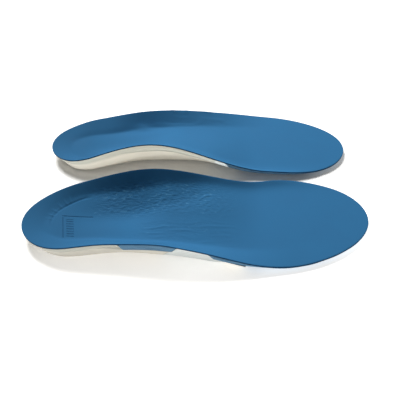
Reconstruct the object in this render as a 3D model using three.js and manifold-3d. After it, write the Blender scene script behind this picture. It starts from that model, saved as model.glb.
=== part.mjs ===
// A pair of cushioned full-length insoles, right and left, lying side by side with the toes towards +X.
// Millimetres, Z up. Each insole is a textile cover on a foam layer, in a moulded heel and arch cup.

import * as THREE from 'three';
import { mergeVertices } from 'three/addons/utils/BufferGeometryUtils.js';
import Module from 'manifold-3d';

const wasm = await Module();
wasm.setup();

// Outline, seen from above. "at" values are shares of the length, counted from the heel.
const footLength = 265;
const heelWidth = 67;
const ballWidth = 92;
const heelRound = 40;          // length of the round heel end
const toeRound = 70;           // length of the round toe end
const endFlat = 8;             // straight stretch across each end
const waistBow = 2;            // how far the midfoot sits to the outer side
const toeTurn = 8.6;           // how far the toe end turns to the inner side

// Heights of the cover's top face.
const heelFloor = 6.6;
const archFloor = 9.2;
const toeFloor = 4.1;
const heelRim = 11;
const innerArchRim = 31;
const outerArchRim = 20.3;
const ballRim = 7.6;
const toeRim = 4.4;
const archAt = 0.35;

// Heights of the cup's underside edge above the table.
const heelUnder = 1.5;
const innerArchUnder = 13.5;
const outerArchUnder = 5.5;
const sideTuck = 6;            // how far the underside edge lies inside the rim

// Layers.
const coverThickness = 1;
const foamThickness = 2.8;
const foamExtra = 2;           // added under the outer side of the arch
const wallThickness = 2.4;     // cup wall around the foam
const fit = 0.3;               // gap between neighbouring pieces

// Cup wall ends, support plate and heel pad.
const windowStart = 76;        // outer cup wall stops, foam shows
const wingStart = 117;
const wingEnd = 139;
const innerWallEnd = 153;
const cupThinFrom = 141;
const cupEnd = 165;
const cupEdge = 0.5;           // thickness left at the cup's front edge
const endSlope = 3;            // slanted ends of the wall and the wing
const wingDepth = 5.5;
const plateStart = 64;
const plateEnd = 140;
const plateInset = 12;
const plateThickness = 1.2;
const heelPadRadius = 19;
const heelPadAt = 40;

// Flex line across the ball of the foot, and the place of each insole.
const flexAt = 191;
const rightPlace = { x: -132.85, y: -55.65, turn: 1.2 };
const pairGap = 6.2;           // room between the two insoles at the ball
const leftPlace = { x: -132.25, y: rightPlace.y + ballWidth + pairGap, turn: 3 };

const rearRows = 22;
const toeRows = 9;
const outlineRows = 24;
const columns = 10;

const clamp = THREE.MathUtils.clamp;
const lerp = THREE.MathUtils.lerp;

function ramp(along, from, to) {
  return THREE.MathUtils.smoothstep(along / footLength, from, to);
}

// Half of the width, as if the ends weren't rounded off.
function fullHalf(along) {
  return lerp(heelWidth, ballWidth, ramp(along, 0.2, 0.75)) / 2;
}

// 0 in the straight middle of the insole, 1 at the very end of the heel or toe.
function endShare(along, inset = 0) {
  const heel = (heelRound - along) / (heelRound - inset);
  const toe = (along - footLength + toeRound) / (toeRound - inset);
  return clamp(Math.max(heel, toe, 0), 0, 1);
}

function half(along, inset = 0) {
  const round = Math.sqrt(1 - endShare(along, inset) ** 2);
  return Math.max((fullHalf(along) - inset) * round, endFlat / 2);
}

function centre(along) {
  return toeTurn * ramp(along, 0.6, 1) - waistBow * ramp(along, 0, 0.5);
}

function innerRim(along) {
  const arch = (innerArchRim - heelRim) * ramp(along, 0, archAt);
  const fall = (innerArchRim - ballRim) * ramp(along, archAt, 0.71);
  return heelRim + arch - fall - (ballRim - toeRim) * ramp(along, 0.72, 0.92);
}

function outerRim(along) {
  const arch = (outerArchRim - heelRim) * ramp(along, 0.04, archAt);
  return heelRim + arch - (outerArchRim - toeRim) * ramp(along, archAt, 0.78);
}

function floorHeight(along) {
  const arch = (archFloor - heelFloor) * ramp(along, 0.1, archAt);
  return heelFloor + arch - (archFloor - toeFloor) * ramp(along, 0.4, 0.68);
}

// Height of the cover's top face. "across" is the distance to the inner side.
function topHeight(along, across) {
  const share = clamp((across - centre(along)) / fullHalf(along), -1, 1);
  const out = Math.min(Math.hypot(endShare(along), share), 1);
  const inner = THREE.MathUtils.smoothstep(share, -0.6, 0.6);
  const rim = lerp(outerRim(along), innerRim(along), inner);
  const archSlope = 0.6 * out ** 1.6 + 0.4 * out ** 5;
  const cupSlope = out ** 5;
  const archShare = inner * ramp(along, 0.05, 0.25) * (1 - ramp(along, 0.5, 0.7));
  const rise = lerp(cupSlope, archSlope, archShare);
  return floorHeight(along) + (rim - floorHeight(along)) * rise;
}

function foamDepth(along, across) {
  const outer = THREE.MathUtils.smoothstep((centre(along) - across) / fullHalf(along), 0, 0.9);
  const arch = ramp(along, 0.2, 0.29) * (1 - ramp(along, 0.4, 0.47));
  return coverThickness + fit + foamThickness + foamExtra * outer * arch;
}

// Height of the cup's underside, where "share" runs from -1 at the outer edge to 1 at the inner edge.
function underHeight(along, share) {
  const inner = lerp(heelUnder, innerArchUnder, ramp(along, 0.06, 0.42));
  const innerEdge = inner - (innerArchUnder - heelUnder) * ramp(along, 0.42, 0.68);
  const outer = lerp(heelUnder, outerArchUnder, ramp(along, 0.12, 0.33));
  const outerEdge = outer - outerArchUnder * ramp(along, 0.42, 0.62);
  const out = clamp(Math.hypot(endShare(along), share), 0, 1);
  const edge = share > 0 ? innerEdge : outerEdge;
  const hollow = ramp(along, 0.1, 0.3) * (1 - ramp(along, 0.5, 0.65));
  const flat = share > 0 ? lerp(0.7, 0.4, hollow) : 0.7;
  return edge * clamp((out - flat) / (1 - flat), 0, 1) ** 2;
}

// A column's share of the half width. The outermost column keeps the cup wall's width.
function columnShare(column, along) {
  const side = Math.sign(column);
  const wall = Math.min((wallThickness + 1) / half(along), 0.3);
  const steps = columns / 2 - 1;
  const inner = Math.sin((Math.abs(column) / steps) * (Math.PI / 2)) * (1 - wall);
  return side * (Math.abs(column) > steps ? 1 : inner);
}

function rearRow(share) {
  return (flexAt - fit / 2) * (1 - Math.cos((share * Math.PI) / 2));
}

function toeRow(share) {
  const start = flexAt + fit / 2;
  return start + (footLength - start) * Math.sin((share * Math.PI) / 2);
}

function asSolid(geometry) {
  const bare = geometry.clone();
  bare.deleteAttribute('normal');
  bare.deleteAttribute('uv');
  const merged = mergeVertices(bare, 1e-4);
  return new wasm.Manifold(new wasm.Mesh({
    numProp: 3,
    vertProperties: new Float32Array(merged.attributes.position.array),
    triVerts: new Uint32Array(merged.index.array),
  }));
}

function asGeometry(solid) {
  const mesh = solid.getMesh();
  const geometry = new THREE.BufferGeometry();
  geometry.setAttribute('position', new THREE.Float32BufferAttribute(mesh.vertProperties, 3));
  geometry.setIndex(Array.from(mesh.triVerts));
  geometry.computeVertexNormals();
  return geometry;
}

// Turns the diagonals of a box's underside, so that they lie under those of its top.
function alignUnderside(geometry) {
  const index = geometry.index;
  const { start, count } = geometry.groups[5];
  for (let corner = start; corner < start + count; corner += 6) {
    const [first, second, fourth] = [0, 1, 2].map((step) => index.getX(corner + step));
    const third = index.getX(corner + 4);
    [first, second, third, first, third, fourth].forEach((value, step) => index.setX(corner + step, value));
  }
}

// A closed layer between two height functions. "spread" widens it, "tuck" pulls in its underside.
function layer({ row, rows, spread = 0, tuck = 0, levels = 1, top, bottom }) {
  const geometry = new THREE.BoxGeometry(1, 1, 1, rows, columns, levels);
  alignUnderside(geometry);
  const place = geometry.attributes.position;
  for (let index = 0; index < place.count; index += 1) {
    const along = row(place.getX(index) + 0.5);
    const column = Math.round(place.getY(index) * columns);
    const share = columnShare(column, along);
    const depth = 0.5 - place.getZ(index);
    const edge = Math.abs(share) === 1 ? spread : 0;
    const rim = centre(along) + half(along) * share;
    const drawn = tuck * depth ** 3;
    const back = clamp((heelRound - along) / heelRound, 0, 1);
    const across = rim + (edge - drawn * Math.sqrt(1 - back ** 2)) * share;
    const height = lerp(top(along, rim, share), bottom(along, rim, share), depth);
    place.setXYZ(index, along + drawn * back, across, height);
  }
  return asSolid(geometry);
}

function upright(shape, height) {
  const geometry = new THREE.ExtrudeGeometry(shape, { depth: height + 2, bevelEnabled: false, steps: 1 });
  geometry.translate(0, 0, -1);
  return asSolid(geometry);
}

// An upright block with the insole's outline pulled in by "inset", over one stretch of its length.
function outline(inset, from, to) {
  const inner = [];
  const outer = [];
  for (let row = 0; row <= outlineRows; row += 1) {
    const along = from + (to - from) * (1 - Math.cos((row / outlineRows) * (Math.PI / 2)));
    inner.push(new THREE.Vector2(along, centre(along) + half(along, inset)));
    outer.push(new THREE.Vector2(along, centre(along) - half(along, inset)));
  }
  return upright(new THREE.Shape([...outer, ...inner.reverse()]), innerArchRim + 5);
}

// A block across the insole, over one stretch of its length. Its ends lean together by "slope" at the top.
function stretch(from, to, outerSide, innerSide, slope = 0) {
  const bottom = -1;
  const top = innerArchRim + 5;
  const shape = new THREE.Shape([
    new THREE.Vector2(from, bottom),
    new THREE.Vector2(to, bottom),
    new THREE.Vector2(to - slope, top),
    new THREE.Vector2(from + slope, top),
  ]);
  const width = innerSide - outerSide;
  const geometry = new THREE.ExtrudeGeometry(shape, { depth: width, bevelEnabled: false, steps: 1 });
  geometry.rotateX(Math.PI / 2);
  geometry.translate(0, innerSide, 0);
  return asSolid(geometry);
}

const coverTop = (along, across) => topHeight(along, across);
const coverBottom = (along, across) => topHeight(along, across) - coverThickness;
const foamTop = (along, across) => topHeight(along, across) - coverThickness - fit;
const foamBottom = (along, across) => topHeight(along, across) - foamDepth(along, across);
const cutBottom = (along, across) => foamBottom(along, across) - fit;
const cutTop = (along, across) => topHeight(along, across) + 3;
const plateBottom = (along, across) => cutBottom(along, across) - plateThickness;
const recessBottom = (along, across) => plateBottom(along, across) - fit;

// The cup thins out towards its front end.
function cupBottom(along, across, share) {
  const thin = ramp(along, cupThinFrom / footLength, cupEnd / footLength);
  return Math.max(0, lerp(underHeight(along, share), cutBottom(along, across) - cupEdge, thin));
}

// Where the foam reaches the side of the insole, with the cup wall cut away.
function windows(gap) {
  const far = ballWidth;
  const outer = stretch(windowStart - gap, wingStart + gap, -far, 0, -endSlope);
  const front = stretch(wingEnd - gap, flexAt + 10, -far, 0, -endSlope);
  const inner = stretch(innerWallEnd - gap, flexAt + 10, 0, far, -endSlope);
  return outer.add(front).add(inner);
}

function coverPiece(row, rows) {
  return layer({ row, rows, top: coverTop, bottom: coverBottom });
}

function rearFoam() {
  const sheet = layer({ row: rearRow, rows: rearRows, top: foamTop, bottom: foamBottom });
  const inset = wallThickness + fit;
  return sheet.intersect(outline(inset, inset, flexAt).add(windows(0)));
}

function toeFoam() {
  return layer({ row: toeRow, rows: toeRows, top: foamTop, bottom: foamBottom });
}

// The cup before its plate and pad are let in: the outer form, less the room for the foam.
function bareCup() {
  const form = layer({
    row: rearRow, rows: rearRows, tuck: sideTuck, levels: 3, top: foamTop, bottom: cupBottom,
  });
  const sheet = layer({ row: rearRow, rows: rearRows, spread: 2, top: cutTop, bottom: cutBottom });
  const room = sheet.intersect(outline(wallThickness, wallThickness, flexAt).add(windows(fit)));
  const front = stretch(cupEnd, flexAt + 10, -ballWidth, ballWidth);
  return form.subtract(room).subtract(front);
}

function wing(gap) {
  const middle = (wingStart + wingEnd) / 2;
  const inside = centre(middle) - half(middle) + wingDepth + gap;
  return stretch(wingStart - gap, wingEnd + gap, -ballWidth, inside, endSlope);
}

// The plate under the arch, with a tongue out to its side wing.
function plateSheet(gap, top, bottom) {
  const middle = (wingStart + wingEnd) / 2;
  const reach = (wingEnd - wingStart) / 2 - endSlope - 2 + gap;
  const outer = centre(middle) - half(middle) + wallThickness;
  const tongue = stretch(middle - reach, middle + reach, outer, 0);
  const sheet = layer({ row: rearRow, rows: rearRows, top, bottom });
  return sheet.intersect(outline(plateInset - gap, plateStart - gap, plateEnd + gap).add(tongue));
}

function heelDisc(gap, from, to) {
  const disc = new THREE.CylinderGeometry(heelPadRadius + gap, heelPadRadius + gap, to - from, 32);
  disc.rotateX(Math.PI / 2);
  disc.translate(heelPadAt, centre(heelPadAt), (from + to) / 2);
  return asSolid(disc);
}

const cupWithRoom = bareCup();

function cupPiece() {
  const plateRoom = plateSheet(fit, cutTop, recessBottom);
  return cupWithRoom.subtract(wing(fit)).subtract(plateRoom).subtract(heelDisc(fit, -1, heelFloor));
}

function platePiece() {
  return plateSheet(0, cutBottom, plateBottom).add(cupWithRoom.intersect(wing(0)));
}

function heelPadPiece() {
  return heelDisc(0, fit, heelFloor - coverThickness - foamThickness - 2 * fit);
}

const looks = {
  cover: { color: 0x31709b, roughness: 0.9 },
  foam: { color: 0x4a7298, roughness: 0.85 },
  cup: { color: 0xd8d2be, roughness: 0.7 },
  plate: { color: 0xdfe3df, roughness: 0.55 },
  pad: { color: 0x5c86b4, roughness: 0.4 },
};

const pieces = {
  top_cover_rear: { solid: coverPiece(rearRow, rearRows), look: looks.cover },
  top_cover_toe: { solid: coverPiece(toeRow, toeRows), look: looks.cover },
  cushion_rear: { solid: rearFoam(), look: looks.foam },
  cushion_toe: { solid: toeFoam(), look: looks.foam },
  arch_cup: { solid: cupPiece(), look: looks.cup },
  support_plate: { solid: platePiece(), look: looks.plate },
  heel_pad: { solid: heelPadPiece(), look: looks.pad },
};

function insole(side, place) {
  const group = new THREE.Group();
  for (const [name, piece] of Object.entries(pieces)) {
    const solid = side === 'left' ? piece.solid.mirror([0, 1, 0]) : piece.solid;
    const material = new THREE.MeshStandardMaterial({ ...piece.look, metalness: 0 });
    const mesh = new THREE.Mesh(asGeometry(solid), material);
    mesh.name = `${side}_${name}`;
    group.add(mesh);
  }
  group.position.set(place.x, place.y, 0);
  group.rotation.z = THREE.MathUtils.degToRad(place.turn);
  return group;
}

const pair = new THREE.Group();
pair.add(insole('right', rightPlace));
pair.add(insole('left', leftPlace));

export default pair;
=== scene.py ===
# Looks of a pair of cushioned insoles, right and left, lying side by side with the toes towards +X.
# Each insole is a textile cover on a foam cushion, in a moulded heel and arch cup with a stiff plate and a
# soft heel pad. Every size is in millimetres until a piece is put in its place.

import math

import bpy
import numpy as np
from mathutils import Matrix, Vector


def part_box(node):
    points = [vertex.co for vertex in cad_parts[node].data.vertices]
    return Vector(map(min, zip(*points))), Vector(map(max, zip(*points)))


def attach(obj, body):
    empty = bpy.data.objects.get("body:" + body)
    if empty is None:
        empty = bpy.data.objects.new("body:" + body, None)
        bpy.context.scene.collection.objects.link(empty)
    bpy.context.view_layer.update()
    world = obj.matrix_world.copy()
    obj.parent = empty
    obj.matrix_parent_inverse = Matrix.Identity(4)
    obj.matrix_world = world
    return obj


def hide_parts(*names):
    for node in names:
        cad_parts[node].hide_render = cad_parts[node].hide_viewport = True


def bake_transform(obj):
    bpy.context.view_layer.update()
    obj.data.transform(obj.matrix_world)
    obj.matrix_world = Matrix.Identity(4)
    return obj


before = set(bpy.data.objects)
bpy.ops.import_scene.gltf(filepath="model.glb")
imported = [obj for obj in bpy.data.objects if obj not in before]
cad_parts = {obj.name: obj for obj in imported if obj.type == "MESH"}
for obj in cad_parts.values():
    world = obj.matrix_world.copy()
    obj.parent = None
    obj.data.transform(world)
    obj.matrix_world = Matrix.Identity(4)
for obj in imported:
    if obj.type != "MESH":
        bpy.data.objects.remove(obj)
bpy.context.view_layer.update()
print("frame loaded")

sole = {
    "length": 265,
    "heelWidth": 67,
    "ballWidth": 92,
    "heelRound": 40,
    "toeRound": 70,
    "waistBow": 2,
    "toeTurn": 8.6,
    "heelFloor": 6.6,
    "archFloor": 9.2,
    "toeFloor": 4.1,
    "archLift": 5.5,  # the inner half of the waist, above the floor
    "heelRim": 11,
    "innerArchRim": 31,
    "outerArchRim": 20.3,
    "ballRim": 7.6,
    "toeRim": 4.4,
    "coverThickness": 1,
    "gap": 0.3,  # room between two layers
}
# Where each change along the sole starts and ends, in shares of the length from the heel.
# Four shares are a hump: where it starts, is full, starts to fall and ends.
spans = {
    "widening": (0.2, 0.75),
    "toeTurn": (0.6, 1),
    "waistBow": (0, 0.5),
    "innerRise": (0, 0.35),
    "innerFall": (0.35, 0.71),
    "innerToe": (0.72, 0.92),
    "outerRise": (0.04, 0.35),
    "outerFall": (0.35, 0.78),
    "heelBulge": (0.02, 0.14, 0.2, 0.36),
    "waistBulge": (0.28, 0.42, 0.5, 0.7),
    "floorRise": (0.1, 0.35),
    "floorFall": (0.4, 0.68),
    "slopeAhead": (0.28, 0.64),
    "heelSide": (0.02, 0.1, 0.18, 0.32),
    "cupToArch": (0.04, 0.2),
    "archLift": (0.3, 0.42, 0.52, 0.7),
    "thickFoam": (0.2, 0.29, 0.4, 0.47),
    "innerUnder": (0.06, 0.42),
    "innerUnderFall": (0.42, 0.68),
    "outerUnder": (0.12, 0.33),
    "outerUnderFall": (0.42, 0.62),
    "hollow": (0.1, 0.3, 0.5, 0.65),
    "heelEase": (0.01, 0.1, 0.14, 0.32),
    "slopeCrinkles": (0.16, 0.26, 0.5, 0.66),
    "middleCrinkles": (0.26, 0.36, 0.5, 0.62),
    "longFolds": (0.28, 0.38, 0.55, 0.65),
    "leftFolds": (0.3, 0.4, 0.55, 0.65),
}
# The outer rims of the two aren't quite alike.
bulges = {
    "right": {"heelBulge": 1.6, "waistBulge": 2.4},
    "left": {"heelBulge": 0.9, "waistBulge": -0.8},
}
turns = {"right": 1.2, "left": 3}  # degrees, of each insole on the floor
flex = {"at": 191, "reach": 24}  # flex line across the ball, and a reach to either side of it; the pieces are not bent there


def smooth(value, low, high):
    share = np.clip((value - low) / (high - low), 0, 1)
    return share * share * (3 - 2 * share)


def ramp(along, name):
    start, end = spans[name]
    return smooth(along / sole["length"], start, end)


def hump(along, name):
    start, full, fall, end = spans[name]
    share = along / sole["length"]
    return smooth(share, start, full) * (1 - smooth(share, fall, end))


def mix(low, high, share):
    return low + (high - low) * share


def fullHalf(along):
    return mix(sole["heelWidth"], sole["ballWidth"], ramp(along, "widening")) / 2


def centre(along):
    return sole["toeTurn"] * ramp(along, "toeTurn") - sole["waistBow"] * ramp(along, "waistBow")


# 0 along the straight middle, growing to 1 at the heel point and at the toe point.
def endShare(along):
    heel = (sole["heelRound"] - along) / sole["heelRound"]
    toe = (along - sole["length"] + sole["toeRound"]) / sole["toeRound"]
    return np.clip(np.maximum(heel, toe), 0, 1)


def innerRim(along):
    rise = (sole["innerArchRim"] - sole["heelRim"]) * ramp(along, "innerRise")
    fall = (sole["innerArchRim"] - sole["ballRim"]) * ramp(along, "innerFall")
    toe = (sole["ballRim"] - sole["toeRim"]) * ramp(along, "innerToe")
    return sole["heelRim"] + rise - fall - toe


def outerRim(along):
    rise = (sole["outerArchRim"] - sole["heelRim"]) * ramp(along, "outerRise")
    bulge = sole["heelBulge"] * hump(along, "heelBulge") + sole["waistBulge"] * hump(along, "waistBulge")
    fall = (sole["outerArchRim"] - sole["toeRim"]) * ramp(along, "outerFall")
    return sole["heelRim"] + rise + bulge - fall


def floorHeight(along):
    rise = (sole["archFloor"] - sole["heelFloor"]) * ramp(along, "floorRise")
    fall = (sole["archFloor"] - sole["toeFloor"]) * ramp(along, "floorFall")
    return sole["heelFloor"] + rise - fall


# The slope from the floor up to the rim. Shares count from the middle line out to the rim, and are negative
# on the outer side. "Ahead" values hold in front of the arch.
slope = {
    "sideBlend": 0.6,
    "cupFoot": 0.6,
    "cupBend": 0.05,
    "heelSideShift": 0.12,
    "heelSide": (0.2, 0.7),
    "archFoot": 0.15,
    "archFootAhead": 0.8,
    "archFootBend": 0.1,
    "archKnee": 0.74,
    "archKneeAhead": 0.88,
    "archKneeBend": 0.05,
    "kneeShare": 0.4,
    "liftBlend": 0.7,
}


# A straight slope that starts at "foot" and reaches 1 at the rim, its start rounded over "bend".
def slopeFrom(out, foot, bend):
    rise = out - foot + np.sqrt((out - foot) ** 2 + bend**2)
    return rise / (1 - foot + np.sqrt((1 - foot) ** 2 + bend**2))


# Height of the cover's top face. "across" counts towards the inner side of the foot.
def topHeight(along, across):
    share = np.clip((across - centre(along)) / fullHalf(along), -1, 1)
    out = np.minimum(np.hypot(endShare(along), share), 1)
    inner = smooth(share, -slope["sideBlend"], slope["sideBlend"])
    rim = mix(outerRim(along), innerRim(along), inner)
    ahead = ramp(along, "slopeAhead")
    heelSide = smooth(-share, *slope["heelSide"]) * hump(along, "heelSide")
    cupSlope = slopeFrom(out, slope["cupFoot"] - slope["heelSideShift"] * heelSide, slope["cupBend"])
    foot = mix(slope["archFoot"], slope["archFootAhead"], ahead)
    knee = mix(slope["archKnee"], slope["archKneeAhead"], ahead)
    lower = slopeFrom(out, foot, slope["archFootBend"])
    upper = slopeFrom(out, knee, slope["archKneeBend"])
    archSlope = mix(lower, upper, slope["kneeShare"])
    archShare = inner * ramp(along, "cupToArch")
    lift = hump(along, "archLift") * smooth(share, -slope["liftBlend"], slope["liftBlend"])
    ground = floorHeight(along) + sole["archLift"] * lift
    return ground + (rim - ground) * mix(cupSlope, archSlope, archShare)


def pick(*pieces):  # the last one becomes the active one
    bpy.ops.object.select_all(action="DESELECT")
    for piece in pieces:
        piece.select_set(True)
        bpy.context.view_layer.objects.active = piece


def cornersOf(piece):
    spots = np.empty(len(piece.data.vertices) * 3)
    piece.data.vertices.foreach_get("co", spots)
    return spots.reshape(-1, 3)


def setCorners(piece, along, across, height):
    spots = np.stack([along, across, height], 1).astype(np.float32)
    piece.data.vertices.foreach_set("co", spots.ravel())
    piece.data.update()


def pointValues(piece, name, values):
    layer = piece.data.attributes.new(name, "FLOAT", "POINT")
    layer.data.foreach_set("value", np.ascontiguousarray(values, dtype=np.float32))


def smoothFaces(piece, angle):
    pick(piece)
    bpy.ops.object.shade_smooth_by_angle(angle=math.radians(angle))


# Turns all faces outwards. On a thin bent slab the operator may turn them all inwards, so the top tells.
def outwards(piece):
    pick(piece)
    bpy.ops.object.mode_set(mode="EDIT")
    bpy.ops.mesh.select_all(action="SELECT")
    bpy.ops.mesh.normals_make_consistent(inside=False)
    bpy.ops.object.mode_set(mode="OBJECT")
    flatness = 0.01  # between faces of one height, the flatter one counts
    highest = max(piece.data.polygons, key=lambda face: face.center.z + flatness * abs(face.normal.z))
    if highest.normal.z < 0:
        piece.data.flip_normals()


# A slab over the outline: a grid whose rings run parallel to the edge, extruded once per level.
# With "front" it ends straight across there, and otherwise it follows the outline round the toes.
def slab(name, size, front=None):
    halfColumns, middleRows, levels = size["halfColumns"], size["middleRows"], size["levels"]
    toeRows = 0 if front else halfColumns
    rows = halfColumns + middleRows + toeRows
    pick()
    bpy.ops.mesh.primitive_grid_add(x_subdivisions=rows, y_subdivisions=2 * halfColumns, size=2)
    piece = bpy.context.object
    piece.name = name
    bpy.ops.object.mode_set(mode="EDIT")
    for _ in range(levels):
        bpy.ops.mesh.extrude_region_move(TRANSFORM_OT_translate={"value": (0, 0, 1)})
    bpy.ops.object.mode_set(mode="OBJECT")
    spots = cornersOf(piece)
    row = np.rint((spots[:, 0] + 1) / 2 * rows)
    column = np.rint(spots[:, 1] * halfColumns)
    heel = np.maximum(halfColumns - row, 0)
    toe = np.maximum(row - halfColumns - middleRows, 0)
    end = heel + toe
    ring = np.maximum(end, np.abs(column))
    turned = np.where(ring > 0, end / np.maximum(ring, 1), 0)
    sideways = np.where(ring > 0, column / np.maximum(ring, 1), 0)
    level = np.rint(spots[:, 2])
    return {
        "piece": piece,
        "middle": (row - halfColumns) / middleRows,
        "heel": heel > 0,
        "toe": toe > 0,
        "ring": (halfColumns - ring).astype(int),  # 0 at the edge, counting inwards
        "rings": halfColumns,
        "lengthways": turned * np.sqrt(1 - sideways**2 / 2),
        "sideways": sideways * np.sqrt(1 - turned**2 / 2),
        "level": level / levels,
        "top": level == levels,
        "bottom": level == 0,
        "front": front or sole["length"] - sole["toeRound"],
    }


# One value for each of the outermost rings; the last one holds for all the rings inside it.
def perRing(grid, values):
    return np.array(values)[np.minimum(grid["ring"], len(values) - 1)]


# Where a slab's points lie in plan. "inset" is each point's distance from the outline at the outermost rings,
# and the other rings share the room inside them.
def planOf(grid, inset, edgeRings=3):
    share = np.clip((grid["rings"] - grid["ring"]) / (grid["rings"] - edgeRings + 1), 0, 1)
    middle = mix(sole["heelRound"], grid["front"], grid["middle"])
    heel = sole["heelRound"] - grid["lengthways"] * share * (sole["heelRound"] - inset)
    toe = sole["length"] - sole["toeRound"] + grid["lengthways"] * share * (sole["toeRound"] - inset)
    along = np.where(grid["heel"], heel, np.where(grid["toe"], toe, middle))
    across = centre(along) + grid["sideways"] * share * (fullHalf(along) - inset)
    return along, across


foam = {
    "thickness": 2.8,
    "extra": 2,  # thicker at the outer side of the arch
    "extraReach": 0.9,
    "sideTuck": 3,  # how far its edge slopes in under the cover in front of the cup
    "tuckFrom": 150,
    "tuckTo": 185,
    "flushBelow": 0.93,  # shares of the cup wall's height up to which the foam shows beside it
    "skirtCurve": 1.5,
    "leastEdge": 0.15,
    "ledgeRoom": 0.12,
    "wallRoom": 0.2,  # between its lower edge and the cup's wall
    "edgeStep": (0.3, 0.4),
    "wave": 0.12,
    "waveLength": 17,
    "waveSquash": 3,
    "seed": 31,
    "halfColumns": 26,
    "middleRows": 156,
    "levels": 4,
    "smoothAngle": 40,
}
# The cup's wall stands up to the cover at the heel and the arch, and drops elsewhere to show the foam.
wall = {
    "thickness": 2.4,
    "outerWindow": 76,
    "innerEnd": 153,
    "step": 4.2,  # height of the drops
    "lean": 0.75,  # their slanted ends: run per height
    "tuck": 6,  # how far its foot lies inside the rim
    "heelEase": 2.6,  # less tucked beside the heel
    "bend": (0.5, 0.75),  # at half its depth the wall is three quarters of the way in
    "straighten": 0.15,
    "cupFront": 165,
    "thinFrom": 141,
    "frontEdge": 0.5,
    "heelUnder": 1.5,
    "innerArchUnder": 16.2,
    "outerArchUnder": 5.5,
    "footShare": 0.7,  # where the underside starts to rise, and under the hollow of the arch
    "hollowShare": 0.4,
    "lipStep": 0.05,
    "footRings": (0, 0.5, 1.4),
    "footRise": (0.45, 0.1, 0),
    "pale": (9, 7.5),  # the paler end of the inner wall: from and to, behind its end
    "paleHeight": 4,
    "halfColumns": 26,
    "middleRows": 126,
    "levels": 12,
}
# The plate's wing is the whole wall between two drops, cut out with a block that reaches past it all round.
wing = {
    "start": 117,
    "end": 139,
    "depth": 5.5,
    "gap": 0.12,
    "margin": 0.25,
    "above": 6,
    "below": 1,
    "reach": 12,
}
plate = {
    "start": 64,
    "end": 140,
    "inset": 12,
    "thickness": 1.2,
    "recess": 3,
    "tongue": (118, 120, 136, 138),
    "overlap": 0.3,
    "rows": 76,
    "columns": 30,
}
pad = {"at": 40, "radius": 19, "low": 0.25, "high": 2.2, "hole": (-1, 6), "round": 0.35, "sides": 96}
hardAngle = 35  # degrees between faces that stay a sharp edge, on the moulded pieces


def foamTop(along, across):
    return topHeight(along, across) - sole["coverThickness"] - sole["gap"]


def foamBottom(along, across):
    outer = smooth((centre(along) - across) / fullHalf(along), 0, foam["extraReach"])
    return foamTop(along, across) - foam["thickness"] - foam["extra"] * outer * hump(along, "thickFoam")


# 1 where the cup wall reaches the cover, 0 where it stops under the foam, with slanted steps between.
def wallShare(along, side):
    step = wall["step"] * wall["lean"]
    heelPart = 1 - np.clip((along - wall["outerWindow"]) / step, 0, 1)
    rise = np.clip((along - wing["start"] + step) / step, 0, 1)
    fall = 1 - np.clip((along - wing["end"]) / step, 0, 1)
    outer = np.maximum(heelPart, np.minimum(rise, fall))
    inner = 1 - np.clip((along - wall["innerEnd"]) / step, 0, 1)
    return np.where(side > 0, inner, outer)


def ledgeHeight(along, across):
    share = wallShare(along, across - centre(along))
    return mix(foamBottom(along, across), foamTop(along, across), share)


# Height of the cup's underside; "out" is 1 at its edge.
def underHeight(along, side, out):
    inner = mix(wall["heelUnder"], wall["innerArchUnder"], ramp(along, "innerUnder"))
    innerEdge = inner - (wall["innerArchUnder"] - wall["heelUnder"]) * ramp(along, "innerUnderFall")
    outer = mix(wall["heelUnder"], wall["outerArchUnder"], ramp(along, "outerUnder"))
    outerEdge = outer - wall["outerArchUnder"] * ramp(along, "outerUnderFall")
    innerFlat = mix(wall["footShare"], wall["hollowShare"], hump(along, "hollow"))
    flat = np.where(side > 0, innerFlat, wall["footShare"])
    edge = np.where(side > 0, innerEdge, outerEdge)
    return edge * np.clip((out - flat) / (1 - flat), 0, 1) ** 2


# Folds in the cloth: heights and depths in millimetres.
folds = {
    "crinkle": 0.07,
    "crinkleLength": 3.8,
    "middleShare": 0.3,
    "lengthwise": 0.07,
    "lengthwisePitch": 3.4,
    "heelCrease": 0.32,
    "heelArc": 0.45,
    "heelArcAt": 23.5,
    "heelArcWidth": 0.8,
    "heelMiddle": 44,
    "heelOval": 1.05,
    "creaseCount": 38,  # in a full turn, if they ran all the way round
    "creaseBand": (23, 24, 25.5, 31),
    "leftFold": 0.2,
    "leftPitch": 9,
    "sideBump": 0.8,
    "sideBumpAt": (80, -0.6),
    "sideBumpSize": (8, 0.1),
    "seed": 7,
}
# An L with short bars, pressed into the right heel. It says nothing.
mark = {
    "along": 28,
    "across": 7.5,
    "arm": 24,
    "leg": 23,
    "legTop": 2,
    "width": 0.7,
    "bars": 7,
    "barsAhead": (3, 8.5),
    "barsTop": 3.5,
    "barsFoot": 1.5,
    "barShare": 0.4,
    "lean": 0.2,
    "press": 0.13,
    "finishDepth": 0.0003,  # metres
}


# Waves from all sides, about "length" long, between about -2 and 2.
def rolling(along, across, seed, length, count=14):
    random = np.random.default_rng(seed)
    total = np.zeros_like(along)
    for _ in range(count):
        turn = random.uniform(0, 2 * math.pi)
        pitch = length * random.uniform(0.7, 1.5)
        phase = random.uniform(0, 2 * math.pi)
        total += np.sin((along * math.cos(turn) + across * math.sin(turn)) * 2 * math.pi / pitch + phase)
    return total / math.sqrt(count / 2)


# Where the cloth over the arch is finely crinkled, from 0 to 1.
def crinkled(along, share):
    inner = smooth(share, 0, 0.3) * (1 - smooth(share, 0.72, 0.92))
    outer = 1 - smooth(np.abs(share + 0.3), 0.1, 0.45)
    middle = folds["middleShare"] * outer * hump(along, "middleCrinkles")
    return np.maximum(inner * hump(along, "slopeCrinkles"), middle)


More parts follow.
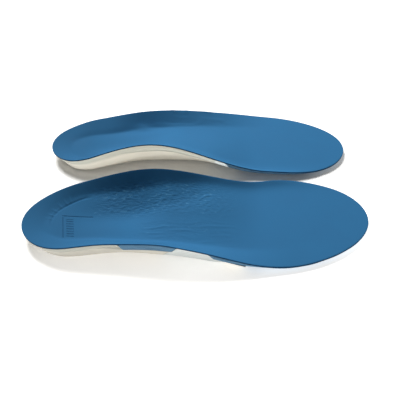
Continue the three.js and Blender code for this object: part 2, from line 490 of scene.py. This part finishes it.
# The arm, the leg and the box of the bars, and the distance down the leg. "within" is 1 between two values.
def markParts(along, across, within):
    down = mark["across"] - across - (along - mark["along"]) * (mark["lean"] / 2)
    ahead = along - mark["along"] - down * mark["lean"]
    arm = within(ahead, 0, mark["arm"]) * within(down, 0, mark["width"])
    leg = within(ahead, 0, mark["width"]) * within(down, mark["legTop"], mark["leg"])
    box = within(ahead, *mark["barsAhead"]) * within(down, mark["barsTop"], mark["leg"] - mark["barsFoot"])
    return arm, leg, box, down


# The soft dent of the mark, from 0 to 1. Its single bars are in the cloth's finish.
def dent(along, across):
    def within(value, low, high):
        return smooth(value, low - 0.5, low + 0.3) * (1 - smooth(value, high - 0.3, high + 0.5))

    arm, leg, box, _ = markParts(along, across, within)
    return np.maximum(np.maximum(arm, leg), mark["barShare"] * box)


def reliefRight(along, across, share):
    seed = folds["seed"]
    warp = 3 * rolling(along, across, seed, 22)
    crinkle = rolling(along * 0.7 + warp * 0.6, across * 1.2 + warp, seed + 1, folds["crinkleLength"])
    relief = folds["crinkle"] * crinkled(along, share) * np.maximum(crinkle, 0) ** 1.5
    long = rolling(along * 0.16, across + 0.3 * warp, seed + 2, folds["lengthwisePitch"])
    middle = (1 - smooth(np.abs(share + 0.35), 0.15, 0.45)) * hump(along, "longFolds")
    relief = relief + folds["lengthwise"] * middle * np.maximum(long, 0)
    # Round the heel, an arc where the floor meets the slope, and short creases running out from it.
    heelAlong = folds["heelMiddle"] - along
    radius = np.hypot(heelAlong, across * folds["heelOval"])
    angle = np.arctan2(across, heelAlong)
    creases = np.maximum(np.sin(angle * folds["creaseCount"] + 2 * np.sin(angle * 5)), 0) ** 2
    start, full, fade, end = folds["creaseBand"]
    band = smooth(radius, start, full) * (1 - smooth(radius, fade, end))
    innerHeel = smooth(angle, 0, 0.3) * (1 - smooth(angle, 0.95, 1.3))
    relief = relief + folds["heelCrease"] * creases * band * innerHeel
    away = (radius - folds["heelArcAt"] - 0.5 * np.sin(angle * 4)) / folds["heelArcWidth"]
    halfTurn = smooth(angle, -0.5, 0) * (1 - smooth(angle, 1.5, 1.9))
    relief = relief - folds["heelArc"] * np.exp(-(away**2)) * halfTurn
    return relief - mark["press"] * dent(along, across)


def reliefLeft(along, across, share):
    seed = folds["seed"] + 20
    warp = 2 * rolling(along, across, seed, 30)
    outer = smooth(-share, 0.4, 0.7) * hump(along, "leftFolds")
    long = rolling(along * 0.2 + warp, across, seed + 1, folds["leftPitch"])
    bumpAlong = (along - folds["sideBumpAt"][0] + 0.4 * warp) / folds["sideBumpSize"][0]
    bumpAcross = (share - folds["sideBumpAt"][1]) / folds["sideBumpSize"][1]
    bump = np.exp(-(bumpAlong**2 + bumpAcross**2))
    return folds["leftFold"] * outer * np.maximum(long, 0) + folds["sideBump"] * bump


reliefs = {"right": reliefRight, "left": reliefLeft}

cover = {
    "halfColumns": 56,
    "middleRows": 200,
    "levels": 3,
    "edgeRings": (0, 0.3, 0.8, 1.6),
    "edgeDrop": (0.22, 0.04, 0),  # the rounded top edge
    "edgeBulge": 0.12,
    "smoothAngle": 50,
}


def makeCover():
    grid = slab("right_cover", cover)
    piece = grid["piece"]
    along, across = planOf(grid, perRing(grid, cover["edgeRings"]), len(cover["edgeRings"]))
    side = across - centre(along)
    below = sole["coverThickness"] * (1 - grid["level"])
    drop = np.where(grid["top"], perRing(grid, cover["edgeDrop"]), below)
    bulge = np.where(grid["top"] | grid["bottom"], 0, cover["edgeBulge"])
    setCorners(piece, along, across + bulge * np.sign(side), topHeight(along, across) - drop)
    pointValues(piece, "along", along)
    pointValues(piece, "across", side)
    pointValues(piece, "crinkle", crinkled(along, side / fullHalf(along)))
    pointValues(piece, "cutEdge", (grid["ring"] == 0) & ~grid["top"])
    outwards(piece)
    return piece


def makeCushion():
    grid = slab("right_cushion", foam)
    level, ring = grid["level"], grid["ring"]
    side = np.where(grid["sideways"] < 0, -1.0, 1.0)
    roughAlong, _ = planOf(grid, 0 * level)
    room = wall["thickness"] + sole["gap"]
    tuck = foam["sideTuck"] * smooth(roughAlong, foam["tuckFrom"], foam["tuckTo"])
    flush = wallShare(roughAlong, side) < foam["flushBelow"]
    behindWall = wall["thickness"] + foam["wallRoom"]
    skirt = np.where(flush, tuck * (1 - level) ** foam["skirtCurve"], behindWall)
    second = np.maximum(room, tuck + foam["edgeStep"][0])
    inset = np.where(ring == 0, skirt, np.where(ring == 1, second, second + foam["edgeStep"][1]))
    along, across = planOf(grid, inset)
    top = foamTop(along, across)
    ledge = ledgeHeight(along, across) + foam["ledgeRoom"]
    edgeBottom = np.where(flush, ledge, top - foam["leastEdge"])
    lower = np.where(ring <= 1, edgeBottom, foamBottom(along, across))
    height = mix(np.minimum(lower, top - foam["leastEdge"]), top, level)
    waves = rolling(along, height * foam["waveSquash"], foam["seed"], foam["waveLength"])
    wave = foam["wave"] * waves * np.sin(level * math.pi)
    setCorners(grid["piece"], along, across + wave * side, height)
    outwards(grid["piece"])
    smoothFaces(grid["piece"], foam["smoothAngle"])
    return grid["piece"]


def makeCup():
    grid = slab("right_cup", wall, wall["cupFront"])
    piece, ring = grid["piece"], grid["ring"]
    depth = 1 - grid["level"]
    bendAt, bendIn = wall["bend"]
    inwards = mix(np.interp(depth, (0, bendAt, 1), (0, bendIn, 1)), depth, wall["straighten"])
    rimAlong, rimAcross = planOf(grid, 0 * depth)
    tuck = wall["tuck"] - wall["heelEase"] * hump(rimAlong, "heelEase")
    footInset = tuck + perRing(grid, wall["footRings"])
    inset = np.where(grid["bottom"], footInset, tuck * inwards)
    lipInset = perRing(grid, (0, wall["thickness"], wall["thickness"] + wall["lipStep"]))
    along, across = planOf(grid, np.where(grid["top"], lipInset, inset))
    side = across - centre(along)
    half = fullHalf(along)
    out = np.clip(np.hypot(endShare(along), side / half), 0, 1)
    edgeOut = np.where(ring == 0, 1, np.clip(out * half / (half - tuck), 0, 1))
    floor = foamBottom(along, across) - sole["gap"]
    thin = smooth(along, wall["thinFrom"], wall["cupFront"])
    under = np.maximum(mix(underHeight(along, side, edgeOut), floor - wall["frontEdge"], thin), 0)
    under = under + perRing(grid, wall["footRise"]) * (1 - thin)
    upper = np.where(ring <= 1, ledgeHeight(along, across), floor)
    between = mix(ledgeHeight(rimAlong, rimAcross), under, depth)
    height = np.where(grid["top"], upper, np.where(grid["bottom"], under, between))
    setCorners(piece, along, across, height)
    paleFrom, paleTo = (wall["innerEnd"] - behind for behind in wall["pale"])
    pale = smooth(along + wall["lean"] * depth * wall["paleHeight"], paleFrom, paleTo)
    pointValues(piece, "depth", depth)
    pointValues(piece, "pale", (side > 0) * pale)
    outwards(piece)
    return piece


def cutPiece(piece, tool, operation):
    pick(piece)
    cut = piece.modifiers.new("cut", "BOOLEAN")
    cut.operation = operation
    cut.solver = "MANIFOLD"
    cut.object = tool
    bpy.ops.object.modifier_apply(modifier="cut")


# A block across the outer side, its ends leaning together towards the top.
def wingBlock(gap):
    pick()
    bpy.ops.mesh.primitive_cube_add(size=2)
    block = bpy.context.object
    spots = cornersOf(block)
    upper = spots[:, 2] > 0
    middle = (wing["start"] + wing["end"]) / 2
    edge = centre(middle) - fullHalf(middle)
    top = foamTop(middle, edge)
    reach = (wing["end"] - wing["start"]) / 2 + wing["margin"] + gap
    spread = np.where(upper, -wing["above"], top + wing["below"]) * wall["lean"]
    along = middle + spots[:, 0] * (reach + spread)
    inside = centre(along) - fullHalf(along) + wing["depth"] + gap + np.where(upper, 0, wall["tuck"])
    across = np.where(spots[:, 1] > 0, inside, edge - wing["reach"])
    setCorners(block, along, across, np.where(upper, top + wing["above"], -wing["below"]))
    return block


# The stiff plate under the arch with a tongue out to its wing. "rise" lifts its top for the room it needs.
def plateSheet(gap, rise):
    pick()
    bpy.ops.mesh.primitive_grid_add(x_subdivisions=plate["rows"], y_subdivisions=plate["columns"], size=2)
    sheet = bpy.context.object
    bpy.ops.object.mode_set(mode="EDIT")
    bpy.ops.mesh.extrude_region_move(TRANSFORM_OT_translate={"value": (0, 0, 1)})
    bpy.ops.object.mode_set(mode="OBJECT")
    spots = cornersOf(sheet)
    along = mix(plate["start"] - gap, plate["end"] + gap, (spots[:, 0] + 1) / 2)
    start, wide, narrow, end = plate["tongue"]
    tongue = smooth(along, start - gap, wide - gap) * (1 - smooth(along, narrow + gap, end + gap))
    outerInset = mix(plate["inset"], wing["depth"] - plate["overlap"], tongue)
    inset = np.where(spots[:, 1] > 0, plate["inset"], outerInset) - gap
    across = centre(along) + spots[:, 1] * (fullHalf(along) - inset)
    top = foamBottom(along, across) - sole["gap"]
    upper = spots[:, 2] > 0.5
    setCorners(sheet, along, across, top + np.where(upper, rise, -plate["thickness"] - gap))
    outwards(sheet)
    return sheet


def disc(radius, low, high):
    pick()
    bpy.ops.mesh.primitive_cylinder_add(vertices=pad["sides"], radius=radius, depth=high - low)
    made = bpy.context.object
    made.data.transform(Matrix.Translation((pad["at"], float(centre(pad["at"])), (low + high) / 2)))
    return made


# Cuts the wing, the plate's recess and the pad's hole out of the cup, and returns the plate and the pad.
def fitPlateAndPad(cup):
    plateBody = cup.copy()
    plateBody.data = cup.data.copy()
    bpy.context.scene.collection.objects.link(plateBody)
    wingTool = wingBlock(0)
    cutPiece(plateBody, wingTool, "INTERSECT")
    hole = disc(pad["radius"] + wing["gap"], *pad["hole"])
    cupTools = [wingBlock(wing["gap"]), plateSheet(wing["gap"], plate["recess"]), hole]
    for tool in cupTools:
        cutPiece(cup, tool, "DIFFERENCE")
    for tool in [wingTool] + cupTools:
        bpy.data.objects.remove(tool)
    pick(plateSheet(0, 0), plateBody)
    bpy.ops.object.join()
    padBody = disc(pad["radius"], pad["low"], pad["high"])
    bpy.ops.object.mode_set(mode="EDIT")
    bpy.ops.mesh.select_all(action="SELECT")
    bpy.ops.mesh.bevel(offset=pad["round"], segments=3, affect="EDGES")
    bpy.ops.object.mode_set(mode="OBJECT")
    for piece in (cup, plateBody, padBody):
        smoothFaces(piece, hardAngle)
    return plateBody, padBody


def colourOf(red, green, blue):
    def channel(value):
        value = value / 255
        return value / 12.92 if value <= 0.04045 else ((value + 0.055) / 1.055) ** 2.4

    return (channel(red), channel(green), channel(blue), 1)


class Wire:  # an output of a shader node, for use in an expression
    def __init__(self, paint, socket):
        self.paint = paint
        self.socket = socket

    def math(self, operation, first, second=0):
        return self.paint.node("ShaderNodeMath", {"operation": operation}, {0: first, 1: second})

    def __add__(self, other):
        return self.math("ADD", self, other)

    def __radd__(self, other):
        return self.math("ADD", other, self)

    def __sub__(self, other):
        return self.math("SUBTRACT", self, other)

    def __rsub__(self, other):
        return self.math("SUBTRACT", other, self)

    def __mul__(self, other):
        return self.math("MULTIPLY", self, other)

    def __rmul__(self, other):
        return self.math("MULTIPLY", other, self)


class Paint:  # a material and the one way to add nodes to it
    def __init__(self, name):
        self.material = bpy.data.materials.new(name)
        self.material.use_nodes = True
        self.tree = self.material.node_tree
        self.tree.nodes.clear()

    def node(self, kind, settings, sockets, output=0):
        made = self.tree.nodes.new(kind)
        for name, value in settings.items():
            setattr(made, name, value)
        for name, value in sockets.items():
            if isinstance(value, Wire):
                self.tree.links.new(value.socket, made.inputs[name])
            else:
                made.inputs[name].default_value = value
        return Wire(self, made.outputs[output])

    def place(self):  # Object coordinates
        return self.node("ShaderNodeTexCoord", {}, {}, 3)

    def number(self, name):
        return self.node("ShaderNodeAttribute", {"attribute_name": name}, {}, 2)

    def noise(self, place, scale, detail):
        sockets = {"Vector": place, "Scale": scale, "Detail": detail, "Roughness": 0.6}
        return self.node("ShaderNodeTexNoise", {}, sockets)

    def cells(self, place, scale, feature="F1"):
        return self.node("ShaderNodeTexVoronoi", {"feature": feature}, {"Vector": place, "Scale": scale})

    def span(self, value, low, high, start, end):
        return self.node("ShaderNodeMapRange", {}, {"Value": value, 1: low, 2: high, 3: start, 4: end})

    def blend(self, factor, first, second):
        return self.node("ShaderNodeMix", {"data_type": "RGBA"}, {0: factor, 6: first, 7: second}, 2)

    def bump(self, height, strength, distance, under=None):
        sockets = {"Strength": strength, "Distance": distance, "Height": height}
        if under is not None:
            sockets["Normal"] = under
        return self.node("ShaderNodeBump", {}, sockets)

    def finish(self, sockets):
        shader = self.node("ShaderNodeBsdfPrincipled", {}, sockets)
        output = self.tree.nodes.new("ShaderNodeOutputMaterial")
        self.tree.links.new(shader.socket, output.inputs["Surface"])
        return self.material


# The finishes. Pattern scales count per metre, and bump depths are in metres.
cloth = {
    "deep": colourOf(36, 88, 127),
    "light": colourOf(40, 94, 133),
    "cutEdge": colourOf(14, 48, 84),
    "shadow": (0, 0.01, 0.02, 1),
    # painted shade: the heel end of the cloth is blended towards the shadow colour
    "heelShade": 0.28,  # the heel end is a little darker than the rest
    "heelShadeSpan": (30, 85),
    "clouds": 45,
    "fibres": 2200,
    "ribs": 420,
    "weaveDepth": 0.0001,
    "rough": (0.86, 0.94),
    "sheen": 1,
    "tint": (0.1, 0.42, 0.75, 1),
    "markShade": 0.3,
}
crinkles = {
    "turn": (0, 0, 0.35),
    "stretch": (0.32, 1, 0.8),
    "cells": 700,
    "dashes": 1000,
    "bends": 110,
    "strands": 520,
    # painted highlights: light dashes laid on the crests of the crinkles
    "paintedHighlight": colourOf(88, 146, 182),
    "paintedHighlightShare": 0.3,
    "depth": 0.0002,
}


# The pressed mark as the finish has it, with its single bars, from 0 to 1.
def pressedMark(paint, along, across):
    def within(value, low, high):
        return paint.span(value, low - 0.2, low + 0.2, 0, 1) * paint.span(value, high - 0.2, high + 0.2, 1, 0)

    arm, leg, box, down = markParts(along, across, within)
    pitch = (mark["leg"] - mark["barsTop"] - mark["barsFoot"]) / mark["bars"]
    wave = down.math("SINE", down * (2 * math.pi / pitch))
    return arm + leg + box * paint.span(wave, -0.1, 0.5, 0, 1)


def coverFinish(side):
    paint = Paint(side + "CoverTextile")
    place = paint.place()
    along = paint.number("along")
    cloudy = paint.noise(place, cloth["clouds"], 4)
    fine = paint.noise(place, cloth["fibres"], 2)
    ribs = paint.node("ShaderNodeTexWave", {"bands_direction": "DIAGONAL"},
                      {"Vector": place, "Scale": cloth["ribs"], "Distortion": 1.5, "Detail": 1})
    colour = paint.blend(cloudy, cloth["deep"], cloth["light"])
    colour = paint.blend(paint.span(fine, 0.45, 0.75, 0, 0.35), colour, cloth["light"])
    # painted shade: darker towards the heel end
    shade = paint.span(along, *cloth["heelShadeSpan"], cloth["heelShade"], 0)
    colour = paint.blend(shade, colour, cloth["shadow"])
    bump = paint.bump(ribs * 0.5 + fine, 0.5, cloth["weaveDepth"])
    if side == "right":
        crinkle = paint.number("crinkle")
        stretched = paint.node("ShaderNodeMapping", {},
                               {"Vector": place, "Rotation": crinkles["turn"], "Scale": crinkles["stretch"]})
        cells = paint.node("ShaderNodeTexVoronoi", {"feature": "SMOOTH_F1"},
                           {"Vector": stretched, "Scale": crinkles["cells"], "Smoothness": 0.2})
        dashes = paint.cells(stretched, crinkles["dashes"])
        # painted highlights: light dashes where the crinkles' crests would catch the light
        paintedHighlights = paint.span(dashes, 0.72, 0.95, 0, crinkles["paintedHighlightShare"]) * crinkle
        colour = paint.blend(paintedHighlights, colour, crinkles["paintedHighlight"])
        pressed = pressedMark(paint, along, paint.number("across"))
        colour = paint.blend(pressed * cloth["markShade"], colour, cloth["cutEdge"])
        strands = paint.noise(stretched, crinkles["strands"], 1)
        bends = paint.noise(stretched, crinkles["bends"], 2)
        bump = paint.bump((cells + strands * 0.8 + bends * 0.4) * crinkle, 1, crinkles["depth"], bump)
        bump = paint.bump(1 - pressed, 1, mark["finishDepth"], bump)
    colour = paint.blend(paint.number("cutEdge"), colour, cloth["cutEdge"])
    return paint.finish({"Base Color": colour, "Roughness": paint.span(cloudy, 0.3, 0.7, *cloth["rough"]),
                         "Normal": bump, "Specular IOR Level": 0.1, "Sheen Weight": cloth["sheen"],
                         "Sheen Roughness": 0.3, "Sheen Tint": cloth["tint"]})


foamLook = {
    "deep": colourOf(94, 134, 165),
    "light": colourOf(106, 146, 176),
    "pore": colourOf(70, 108, 142),
    "clouds": 90,
    "pores": 1800,
    "poreDepth": 0.00025,
}


def foamFinish():
    paint = Paint("cushionFoam")
    place = paint.place()
    pores = paint.cells(place, foamLook["pores"])
    base = paint.blend(paint.noise(place, foamLook["clouds"], 3), foamLook["deep"], foamLook["light"])
    colour = paint.blend(paint.span(pores, 0.2, 0.7, 0.35, 0), base, foamLook["pore"])
    return paint.finish({"Base Color": colour, "Roughness": paint.span(pores, 0, 0.8, 0.95, 0.8),
                         "Normal": paint.bump(pores, 0.5, foamLook["poreDepth"]), "Specular IOR Level": 0.25})


cupLook = {
    # painted shade: the cup's wall is coloured darker in its upper part, under the rim, and lighter lower
    # down
    "upper": colourOf(182, 184, 175),
    "lower": colourOf(228, 224, 213),
    "band": (0.36, 0.6),  # where the upper tone turns into the lower one, in shares of the wall's depth
    "cloud": colourOf(212, 209, 198),
    "pore": colourOf(176, 170, 152),
    "paleEnd": colourOf(208, 214, 214),
    "clouds": 70,
    "grain": 900,
    "pores": 1300,
    "grainDepth": 0.0001,
    "rough": (0.58, 0.72),
}


def cupFinish():
    paint = Paint("cupFoam")
    place = paint.place()
    grain = paint.noise(place, cupLook["grain"], 3)
    pores = paint.cells(place, cupLook["pores"])
    # painted shade: darker upper wall, lighter lower wall
    lower = paint.span(paint.number("depth"), *cupLook["band"], 0, 1)
    colour = paint.blend(lower, cupLook["upper"], cupLook["lower"])
    colour = paint.blend(paint.noise(place, cupLook["clouds"], 3) * 0.3, colour, cupLook["cloud"])
    colour = paint.blend(paint.span(pores, 0.1, 0.4, 0.08, 0), colour, cupLook["pore"])
    colour = paint.blend(paint.number("pale"), colour, cupLook["paleEnd"])
    return paint.finish({"Base Color": colour, "Roughness": paint.span(grain, 0.3, 0.7, *cupLook["rough"]),
                         "Normal": paint.bump(grain + pores, 0.2, cupLook["grainDepth"]),
                         "Specular IOR Level": 0.35})


plateLook = {
    "deep": colourOf(214, 222, 222),
    "light": colourOf(228, 232, 230),
    "clouds": 120,
    "grain": 1600,
    "grainDepth": 0.0001,
    "rough": (0.38, 0.5),
}


def plateFinish():
    paint = Paint("plateSatin")
    place = paint.place()
    cloudy = paint.noise(place, plateLook["clouds"], 3)
    bump = paint.bump(paint.noise(place, plateLook["grain"], 2), 0.25, plateLook["grainDepth"])
    return paint.finish({"Base Color": paint.blend(cloudy, plateLook["deep"], plateLook["light"]),
                         "Roughness": paint.span(cloudy, 0.3, 0.7, *plateLook["rough"]), "Normal": bump})


padLook = {
    "deep": colourOf(66, 116, 170),
    "light": colourOf(84, 134, 184),
    # painted shade: the grooves between the gel's cells are coloured darker
    "grooveShade": colourOf(40, 84, 134),
    "clouds": 150,
    "cells": 260,
    "grooveDepth": 0.0004,
    "rough": (0.25, 0.4),
}


def padFinish():
    paint = Paint("padGel")
    place = paint.place()
    cells = paint.cells(place, padLook["cells"], "DISTANCE_TO_EDGE")
    cloudy = paint.noise(place, padLook["clouds"], 2)
    base = paint.blend(cloudy, padLook["deep"], padLook["light"])
    # painted shade in the grooves
    colour = paint.blend(paint.span(cells, 0, 0.12, 0.5, 0), base, padLook["grooveShade"])
    return paint.finish({"Base Color": colour, "Roughness": paint.span(cloudy, 0.3, 0.7, *padLook["rough"]),
                         "Normal": paint.bump(paint.span(cells, 0, 0.15, 0, 1), 0.6, padLook["grooveDepth"])})


# The floor, in metres. It glows, as painted light: a little everywhere, and strongly where nothing may look
# shaded: in front, beside the toes and far away.
floor = {
    "size": 8,
    "deep": (0.85, 0.84, 0.82, 1),
    "light": (0.89, 0.88, 0.865, 1),
    "glowTint": (1, 0.985, 0.96, 1),
    "baseGlow": 0.045,
    "frontGlow": 0.72,
    "front": (-0.052, -0.104),
    "frontBow": (0.04, 0.14, 0, 0.06),
    "toeGlow": (0.09, 0.14, 0, 0.3),
    "far": (0.3, 0.7),
}


def floorFinish():
    paint = Paint("floorPaper")
    place = paint.place()
    x = paint.node("ShaderNodeSeparateXYZ", {}, {0: place}, 0)
    y = paint.node("ShaderNodeSeparateXYZ", {}, {0: place}, 1)
    ahead = y - paint.span(x, *floor["frontBow"])
    front = paint.span(ahead, *floor["front"], floor["baseGlow"], floor["frontGlow"])
    away = paint.node("ShaderNodeVectorMath", {"operation": "LENGTH"}, {0: place}, 1)
    # painted light: the glow lifts the floor's shadows
    glow = front + paint.span(x, *floor["toeGlow"]) + paint.span(away, *floor["far"], 0, 1)
    grain = paint.noise(place, 400, 3)
    return paint.finish({"Base Color": paint.blend(grain, floor["deep"], floor["light"]),
                         "Roughness": paint.span(grain, 0.3, 0.7, 0.85, 0.95), "Specular IOR Level": 0.1,
                         "Emission Color": paint.blend(glow, (0, 0, 0, 1), floor["glowTint"]),
                         "Emission Strength": 1})


finishes = {
    "rightCover": coverFinish("right"),
    "leftCover": coverFinish("left"),
    "cushion": foamFinish(),
    "cup": cupFinish(),
    "plate": plateFinish(),
    "pad": padFinish(),
}


# How far a turned insole has to move so that its cover lies in the middle of the CAD covers' box.
def shiftFor(side, coverPiece):
    spots = cornersOf(coverPiece) * (1, -1 if side == "left" else 1, 1)
    turn = math.radians(turns[side])
    x = (spots[:, 0] * math.cos(turn) - spots[:, 1] * math.sin(turn)) / 1000
    y = (spots[:, 0] * math.sin(turn) + spots[:, 1] * math.cos(turn)) / 1000
    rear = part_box(side + "_top_cover_rear")
    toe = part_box(side + "_top_cover_toe")
    low = [min(rear[0][axis], toe[0][axis]) for axis in (0, 1)]
    high = [max(rear[1][axis], toe[1][axis]) for axis in (0, 1)]
    return Vector(((low[0] + high[0] - x.min() - x.max()) / 2, (low[1] + high[1] - y.min() - y.max()) / 2, 0))


def addRelief(piece, relief):
    along, across, height = cornersOf(piece).T
    side = across - centre(along)
    setCorners(piece, along, across, height + relief(along, side, side / fullHalf(along)))


# Both insoles are shaped as a right one with its heel at the origin; the left one is then mirrored.
def makeInsole(side):
    sole.update(bulges[side])
    pieces = {"cover": makeCover(), "cushion": makeCushion(), "cup": makeCup()}
    pieces["plate"], pieces["pad"] = fitPlateAndPad(pieces["cup"])
    shift = shiftFor(side, pieces["cover"])
    print(side, "insole moves by", [round(value, 5) for value in shift])
    addRelief(pieces["cover"], reliefs[side])
    smoothFaces(pieces["cover"], cover["smoothAngle"])
    turn = Matrix.Rotation(math.radians(turns[side]), 4, "Z")
    for kind, piece in pieces.items():
        piece.name = side + "_" + kind + "_piece"
        if side == "left":
            piece.data.transform(Matrix.Diagonal((1, -1, 1, 1)))
            piece.data.flip_normals()
        piece.data.transform(Matrix.Translation(shift) @ Matrix.Scale(0.001, 4) @ turn)
    return pieces, shift


cadNames = {
    "cover": ("_top_cover_rear", "_top_cover_toe"),
    "cushion": ("_cushion_rear", "_cushion_toe"),
    "cup": ("_arch_cup",),
    "plate": ("_support_plate",),
    "pad": ("_heel_pad",),
}
sideLit = {}
for side in ("right", "left"):
    pieces, shift = makeInsole(side)
    sideLit[side] = [pieces["cup"], pieces["plate"]]
    turn = math.radians(turns[side])
    lengthways = Vector((math.cos(turn), math.sin(turn), 0))
    flexPoint = shift + lengthways * flex["at"] / 1000
    reach = lengthways * flex["reach"] / 1000
    for kind, piece in pieces.items():
        if kind in ("cover", "cushion"):
            side + "_insole"
            side + "_toe"
            flexPoint - reach
            flexPoint + reach
            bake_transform(piece)
        else:
            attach(piece, side + "_insole")
        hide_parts(*[side + name for name in cadNames[kind]])
        piece.data.materials.clear()
        piece.data.materials.append(finishes[side + "Cover" if kind == "cover" else kind])
        "foam" if kind == "cushion" else kind
print("insoles in place")

pick()
bpy.ops.mesh.primitive_plane_add(size=floor["size"])
ground = bpy.context.object
ground.name = "floor"
ground.data.materials.append(floorFinish())

# Lights, in watts and metres. The fills from the front reach only the cup and the plate of their side.
lights = {
    "key": 49,
    "keySize": 0.7,
    "keyPlace": (-0.42, 0.93, 1.13),
    "world": 0.1,
    "fill": {"right": 0.6, "left": 14},
    "fillSize": 0.8,
    "fillPlace": (0, -1.2, 0.45),
}
camera = {"lens": 43.8, "sensor": 36, "distance": 0.4, "pitch": 41.8, "aim": (0.0012, -0.0217, 0)}

# The room looks white, but lights the pieces only a little.
world = bpy.data.worlds.new("studio")
bpy.context.scene.world = world
world.use_nodes = True
room = world.node_tree.nodes["Background"]
room.inputs["Color"].default_value = (1, 1, 1, 1)
path = world.node_tree.nodes.new("ShaderNodeLightPath")
bright = world.node_tree.nodes.new("ShaderNodeMapRange")
bright.inputs["To Min"].default_value = lights["world"]
bright.inputs["To Max"].default_value = 1
world.node_tree.links.new(path.outputs["Is Camera Ray"], bright.inputs["Value"])
world.node_tree.links.new(bright.outputs["Result"], room.inputs["Strength"])


def lookAlong(direction):
    return direction.to_track_quat("-Z", "Y").to_euler()


def softbox(name, energy, size, place):
    lamp = bpy.data.lights.new(name, "AREA")
    lamp.energy = energy
    lamp.size = size
    made = bpy.data.objects.new(name, lamp)
    made.location = place
    made.rotation_euler = lookAlong(-Vector(place))
    bpy.context.scene.collection.objects.link(made)
    return made


softbox("keyLight", lights["key"], lights["keySize"], lights["keyPlace"])
for side, pieces in sideLit.items():
    fillLight = softbox(side + "SideFill", lights["fill"][side], lights["fillSize"], lights["fillPlace"])
    lit = bpy.data.collections.new(side + "SideLit")
    for piece in pieces:
        lit.objects.link(piece)
    fillLight.light_linking.receiver_collection = lit

pitch = math.radians(camera["pitch"])
away = Vector((0, -math.cos(pitch), math.sin(pitch))) * camera["distance"]
eye = bpy.data.objects.new("camera", bpy.data.cameras.new("camera"))
eye.data.lens = camera["lens"]
eye.data.sensor_width = camera["sensor"]
eye.location = Vector(camera["aim"]) + away
eye.rotation_euler = lookAlong(-away)
bpy.context.scene.collection.objects.link(eye)
bpy.context.scene.camera = eye
bpy.context.scene.view_settings.view_transform = "Standard"
print("studio ready")
